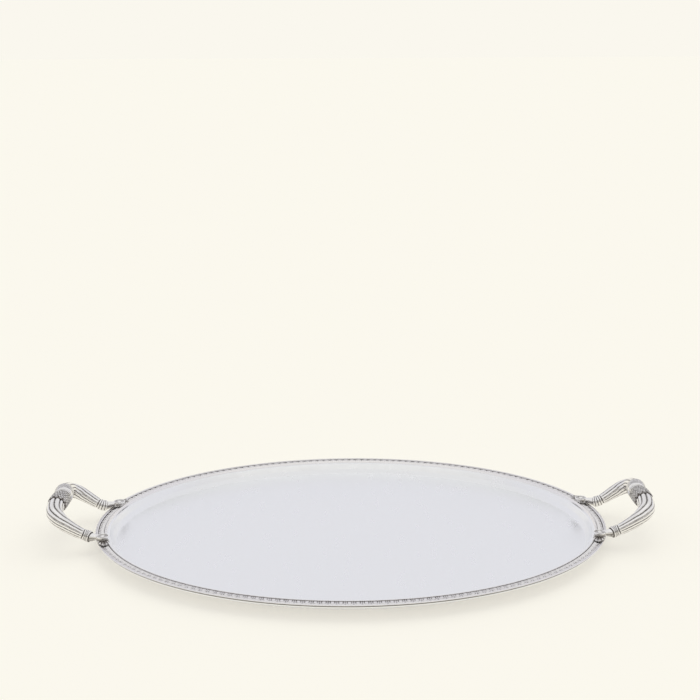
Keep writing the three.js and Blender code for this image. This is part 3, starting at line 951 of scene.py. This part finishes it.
def screw(name, ends):
    """Slotted pan-head screw, head down under the flange."""
    low, high = SCREW_LOW[2], SCREW_HIGH[2]
    seat = WASHER_LOW[2] - GAP
    point = 0.6 * MM              # both the length and the width of the point's slope
    x, y = disc_centre(ends)
    piece = lathe(name, fillet_line([
        (0, high, 0),
        (SHANK_RADIUS - point, high, 0.1 * MM),
        (SHANK_RADIUS, high - point, 0.1 * MM),
        (SHANK_RADIUS, seat, 0.1 * MM),
        (HEAD_RADIUS, seat, 0.2 * MM),
        (HEAD_RADIUS - 0.2 * MM, low + 0.2 * MM, 1.0 * MM),
        (0, low, 0),
    ], SMALL_ROUNDING), (x, y), FIXING_METAL)
    slot = bpy.data.meshes.new(name + "_slot")
    reach = HEAD_RADIUS + 0.8 * MM
    corners = [(x + sx * reach, y + sy * SLOT_HALF_WIDTH, z) for z in (low - MM, low + SLOT_DEPTH)
               for sx, sy in ((-1, -1), (1, -1), (1, 1), (-1, 1))]
    sides = [(0, 1, 5, 4), (1, 2, 6, 5), (2, 3, 7, 6), (3, 0, 4, 7)]
    slot.from_pydata(corners, [], [(3, 2, 1, 0), (4, 5, 6, 7), *sides])
    cutter = link_object(name + "_slot", slot)
    cut = piece.modifiers.new("slot", "BOOLEAN")
    cut.operation = "DIFFERENCE"
    cut.object = cutter
    piece.data = modified_mesh(piece)
    piece.modifiers.clear()
    bpy.data.objects.remove(cutter)
    return piece


# ---- assembly ----------------------------------------------------------------------------------
SIDE_PIECES = [
    ("arm", arm, "handle_silver"),
    ("collar", collar, "handle_silver"),
    ("leaf_sleeve", leaf_sleeve, "handle_silver"),
    ("terminal", terminal, "handle_silver"),
    ("eye_button", eye_button, "handle_silver"),
    ("screw", screw, "fixing_metal"),
    ("washer", washer, "fixing_metal"),
]


def stand_for(piece, node):
    """Attaches a piece to the root body and hides the frame's part that it stands for."""
    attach(piece, "root")
    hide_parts(node)


stand_for(tray_body(), "tray_body")
stand_for(outer_wire(), "border_outer_wire")
stand_for(frieze(), "border_frieze")
stand_for(pearl_bead(), "border_inner_bead")
for end, end_sign in (("right", 1), ("left", -1)):
    stand_for(centre_ring(f"{end}_grip_ring", end_sign), f"{end}_centre_ring")
    for side, side_sign in (("rear", 1), ("front", -1)):
        for part, build, slot in SIDE_PIECES:
            piece = build(f"{end}_{side}_{part}_fine", (end_sign, side_sign))
            stand_for(piece, f"{end}_{side}_{part}")


# ---- stage, light and camera -------------------------------------------------------------------
def make_floor():
    """Plain pale floor that runs to the horizon."""
    mesh = bpy.data.meshes.new("floor")
    corners = [(sx * FLOOR_REACH, sy * FLOOR_REACH, 0) for sx, sy in ((-1, -1), (1, -1), (1, 1), (-1, 1))]
    mesh.from_pydata(corners, [], [(0, 1, 2, 3)])
    mesh.materials.append(floor_material())
    floor = link_object("floor", mesh)
    floor.location.z = -FLOOR_DROP


def make_world():
    """Studio surround: cream at the horizon, pale walls behind and to the sides, a darker room in front."""
    world = bpy.data.worlds.new("studio")
    bpy.context.scene.world = world
    world.use_nodes = True
    tree = Nodes(world.node_tree)
    background = world.node_tree.nodes["Background"]
    direction = tree.add("ShaderNodeTexCoord").outputs["Generated"]
    split = tree.add("ShaderNodeSeparateXYZ")
    tree.join(direction, split.inputs["Vector"])
    back = tree.colour_ramp(split.outputs["Z"], BACK_WALL)
    front = tree.colour_ramp(split.outputs["Z"], FRONT_ROOM)
    facing = tree.spread(split.outputs["Y"], 0.0, 1.0, ROOM_UP_TO, WALL_FROM)
    tree.join(tree.mix(facing, front, back), background.inputs["Color"])
    background.inputs["Strength"].default_value = 1.0


def make_sun():
    """Broad soft key from behind on the right."""
    data = bpy.data.lights.new("key", "SUN")
    data.energy = SUN_POWER
    data.angle = math.radians(SUN_ANGLE)
    sun = link_object("key", data)
    sun.rotation_euler = Vector(SUN_DIRECTION).to_track_quat("-Z", "Y").to_euler()
    sun.visible_glossy = False


def make_camera():
    """Camera 1.2 m in front of the tray and half a metre up, looking down on it."""
    pitch, yaw, roll = (math.radians(angle) for angle in (CAMERA_PITCH, CAMERA_YAW, CAMERA_ROLL))
    level = Vector((math.cos(yaw), -math.sin(yaw), 0))
    ahead = Vector((math.sin(yaw) * math.cos(pitch), math.cos(yaw) * math.cos(pitch), -math.sin(pitch)))
    upright = level.cross(ahead)
    right = math.cos(roll) * level + math.sin(roll) * upright
    up = right.cross(ahead)
    data = bpy.data.cameras.new("camera")
    data.lens = CAMERA_LENS
    data.sensor_width = CAMERA_SENSOR
    camera = link_object("camera", data)
    basis = Matrix((right, up, -ahead)).transposed().to_4x4()
    basis.translation = Vector((CAMERA_X, CAMERA_Y, CAMERA_ABOVE_RIM + RIM_TOP))
    camera.matrix_world = basis
    bpy.context.scene.camera = camera


make_floor()
make_world()
make_sun()
make_camera()
bpy.context.scene.view_settings.view_transform = "Standard"
